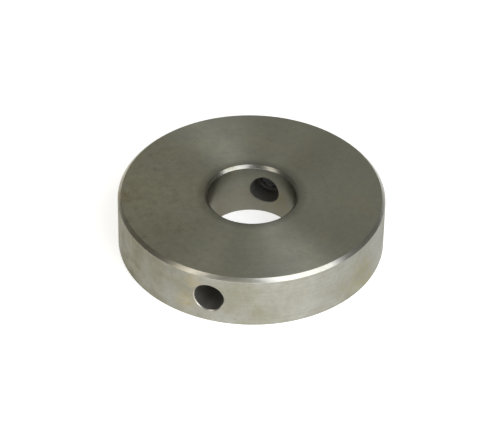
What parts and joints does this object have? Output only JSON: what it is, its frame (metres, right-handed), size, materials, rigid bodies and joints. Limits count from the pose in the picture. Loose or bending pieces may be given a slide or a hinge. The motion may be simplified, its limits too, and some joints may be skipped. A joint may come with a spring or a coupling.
{
  "type": "shaft collar",
  "caption": "Thick-walled solid set-screw collar: turned steel ring with a round bore, a cross hole on a diameter and a sunk socket set screw in each half of it.",
  "frame": {"origin": "centre of the bore at the bottom face", "axes": "+Z along the bore, towards the face with the larger chamfers; the cross hole lies along Y, with its front mouth at -Y"},
  "size_m": [0.075, 0.075, 0.016],
  "materials": {
    "turned_steel": "turned, lightly oiled, with faint rust tints",
    "black_oxide_steel": "black oxide"
  },
  "bodies": {
    "collar": {"collar_ring": "turned_steel"},
    "front_screw": {"set_screw_front": "black_oxide_steel"},
    "rear_screw": {"set_screw_rear": "black_oxide_steel"}
  },
  "joints": [
    {"name": "front_screw_feed", "type": "slide", "parent": "collar", "child": "front_screw", "axis": [0, 1, 0], "range_m": [-0.00875, 0.00625]},
    {"name": "rear_screw_feed", "type": "slide", "parent": "collar", "child": "rear_screw", "axis": [0, -1, 0], "range_m": [-0.00875, 0.00625]}
  ]
}
